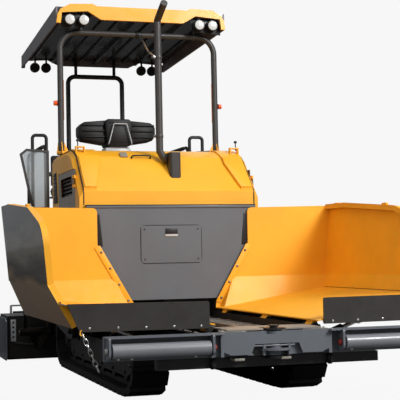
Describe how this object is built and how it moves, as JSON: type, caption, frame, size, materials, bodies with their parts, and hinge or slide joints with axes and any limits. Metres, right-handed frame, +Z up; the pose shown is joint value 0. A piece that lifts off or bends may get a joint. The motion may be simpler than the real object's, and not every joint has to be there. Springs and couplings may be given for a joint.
{
  "type": "tracked asphalt paver",
  "caption": "Tracked asphalt paver with a folding hopper, push beam, hood, canopy over the operator's deck, augers and a towed screed.",
  "frame": {"origin": "on the ground at the middle of the machine's bounding box", "axes": "+Z up, -Y the way it paves with the hopper first, +X the operator's left"},
  "size_m": [3.3316, 6.392, 3.838],
  "materials": {
    "yellow_paint": "satin",
    "grey_paint": "satin",
    "dark_grey_paint": "satin",
    "apron_paint": "satin",
    "seal_rubber": "matt",
    "black_paint": "satin",
    "canopy_grey": "matt",
    "worn_steel": "worn",
    "cast_block": "cast",
    "track_steel": "worn",
    "rod_chrome": "polished",
    "console_plastic": "matt",
    "lamp_black": "matt",
    "marker_orange": "gloss",
    "seat_vinyl": "grained",
    "clear_pane": "clear"
  },
  "bodies": {
    "tractor": {"track_left": "track_steel", "track_right": "track_steel", "track_wheels": "worn_steel", "track_frames": "black_paint", "frame_rails": "black_paint", "track_beams": "black_paint", "cross_members": "black_paint", "front_crossbeam": "black_paint", "conveyor_cover": "worn_steel", "engine_floor": "black_paint", "conveyor": "worn_steel", "conveyor_seals": "seal_rubber", "bulkhead": "grey_paint", "hatch_cover": "grey_paint", "hood": "yellow_paint", "hood_cheeks": "yellow_paint", "engine_block": "cast_block", "platform": "yellow_paint", "canopy_front_frame": "dark_grey_paint", "canopy_rear_arch": "black_paint", "canopy_roof": "canopy_grey", "canopy_front_fascia": "yellow_paint", "canopy_rear_fascia": "canopy_grey", "canopy_side_fascias": "canopy_grey", "work_lamps": "lamp_black", "marker_lamps": "marker_orange", "exhaust_stack": "dark_grey_paint", "exhaust_pipe": "dark_grey_paint", "console": "console_plastic", "console_guard": "black_paint", "seats": "seat_vinyl", "handrails": "black_paint", "screen_frames": "dark_grey_paint", "screen_panes": "clear_pane", "auger_frame": "black_paint"},
    "push_beam": {"push_beam": "grey_paint"},
    "screed": {"tow_arms": "yellow_paint", "screed": "grey_paint", "screed_walkway": "grey_paint"},
    "lift_barrels": {"lift_barrels": "black_paint"},
    "lift_rods": {"lift_rods": "rod_chrome"},
    "wing_left": {"hopper_wing_left": "yellow_paint", "apron_left": "apron_paint"},
    "wing_ram_barrel_left": {"wing_ram_barrel_left": "black_paint"},
    "wing_ram_rod_left": {"wing_ram_rod_left": "rod_chrome"},
    "push_roller_left": {"push_roller_left": "worn_steel"},
    "auger_left": {"auger_left": "worn_steel"},
    "end_gate_left": {"end_gate_left": "grey_paint"},
    "service_door_left": {"service_door_left": "yellow_paint"},
    "wing_right": {"hopper_wing_right": "yellow_paint", "apron_right": "apron_paint"},
    "wing_ram_barrel_right": {"wing_ram_barrel_right": "black_paint"},
    "wing_ram_rod_right": {"wing_ram_rod_right": "rod_chrome"},
    "push_roller_right": {"push_roller_right": "worn_steel"},
    "auger_right": {"auger_right": "worn_steel"},
    "end_gate_right": {"end_gate_right": "grey_paint"},
    "service_door_right": {"service_door_right": "yellow_paint"}
  },
  "joints": [
    {"name": "push_beam_swing", "type": "hinge", "parent": "tractor", "child": "push_beam", "pos_m": [0, -3.055, 0.5], "axis": [0, 0, 1], "range_deg": [-8, 8]},
    {"name": "wing_left_fold", "type": "hinge", "parent": "tractor", "child": "wing_left", "pos_m": [0.43, -1.84, 0.6], "axis": [0, -1, 0], "range_deg": [0, 40]},
    {"name": "wing_ram_left_turn", "type": "hinge", "parent": "tractor", "child": "wing_ram_barrel_left", "pos_m": [0.53, -2.34, 0.4], "axis": [0, -1, 0], "range_deg": [0, 38]},
    {"name": "wing_ram_left_stroke", "type": "slide", "parent": "wing_ram_barrel_left", "child": "wing_ram_rod_left", "axis": [0.9333, 0, 0.359], "range_m": [0, 0.152]},
    {"name": "push_roller_left_spin", "type": "hinge", "parent": "push_beam", "child": "push_roller_left", "pos_m": [0.9, -3.144, 0.497], "axis": [1, 0, 0], "continuous": true},
    {"name": "auger_left_spin", "type": "hinge", "parent": "tractor", "child": "auger_left", "pos_m": [0.64, 1.56, 0.33], "axis": [1, 0, 0], "continuous": true},
    {"name": "end_gate_left_lift", "type": "slide", "parent": "screed", "child": "end_gate_left", "axis": [0, 0, 1], "range_m": [0, 0.15]},
    {"name": "service_door_left_open", "type": "hinge", "parent": "tractor", "child": "service_door_left", "pos_m": [0.93, -0.314, 1.52], "axis": [0, 0, -1], "range_deg": [0, 90]},
    {"name": "wing_right_fold", "type": "hinge", "parent": "tractor", "child": "wing_right", "pos_m": [-0.43, -1.84, 0.6], "axis": [0, 1, 0], "range_deg": [0, 40]},
    {"name": "wing_ram_right_turn", "type": "hinge", "parent": "tractor", "child": "wing_ram_barrel_right", "pos_m": [-0.53, -2.34, 0.4], "axis": [0, 1, 0], "range_deg": [0, 38]},
    {"name": "wing_ram_right_stroke", "type": "slide", "parent": "wing_ram_barrel_right", "child": "wing_ram_rod_right", "axis": [-0.9333, 0, 0.359], "range_m": [0, 0.152]},
    {"name": "push_roller_right_spin", "type": "hinge", "parent": "push_beam", "child": "push_roller_right", "pos_m": [-0.9, -3.144, 0.497], "axis": [1, 0, 0], "continuous": true},
    {"name": "auger_right_spin", "type": "hinge", "parent": "tractor", "child": "auger_right", "pos_m": [-0.64, 1.56, 0.33], "axis": [1, 0, 0], "continuous": true},
    {"name": "end_gate_right_lift", "type": "slide", "parent": "screed", "child": "end_gate_right", "axis": [0, 0, 1], "range_m": [0, 0.15]},
    {"name": "service_door_right_open", "type": "hinge", "parent": "tractor", "child": "service_door_right", "pos_m": [-0.93, -0.314, 1.52], "axis": [0, 0, 1], "range_deg": [0, 90]},
    {"name": "screed_lift", "type": "hinge", "parent": "tractor", "child": "screed", "pos_m": [0, -0.24, 0.45], "axis": [1, 0, 0], "range_deg": [0, 8]},
    {"name": "lift_barrel_turn", "type": "hinge", "parent": "tractor", "child": "lift_barrels", "pos_m": [0, 0.91, 1.24], "axis": [1, 0, 0], "range_deg": [0, 12.5]},
    {"name": "lift_rod_stroke", "type": "slide", "parent": "lift_barrels", "child": "lift_rods", "axis": [0, 0.6546, -0.756], "range_m": [-0.192, 0]}
  ],
  "couplings": [
    {"joint": "wing_ram_left_turn", "follows": "wing_left_fold", "ratio": 0.93847},
    {"joint": "wing_ram_left_stroke", "follows": "wing_left_fold", "m_per_rad": 0.21639},
    {"joint": "wing_ram_right_turn", "follows": "wing_right_fold", "ratio": 0.93847},
    {"joint": "wing_ram_right_stroke", "follows": "wing_right_fold", "m_per_rad": 0.21639},
    {"joint": "lift_barrel_turn", "follows": "screed_lift", "ratio": 1.5189},
    {"joint": "lift_rod_stroke", "follows": "screed_lift", "m_per_rad": -1.3655}
  ]
}
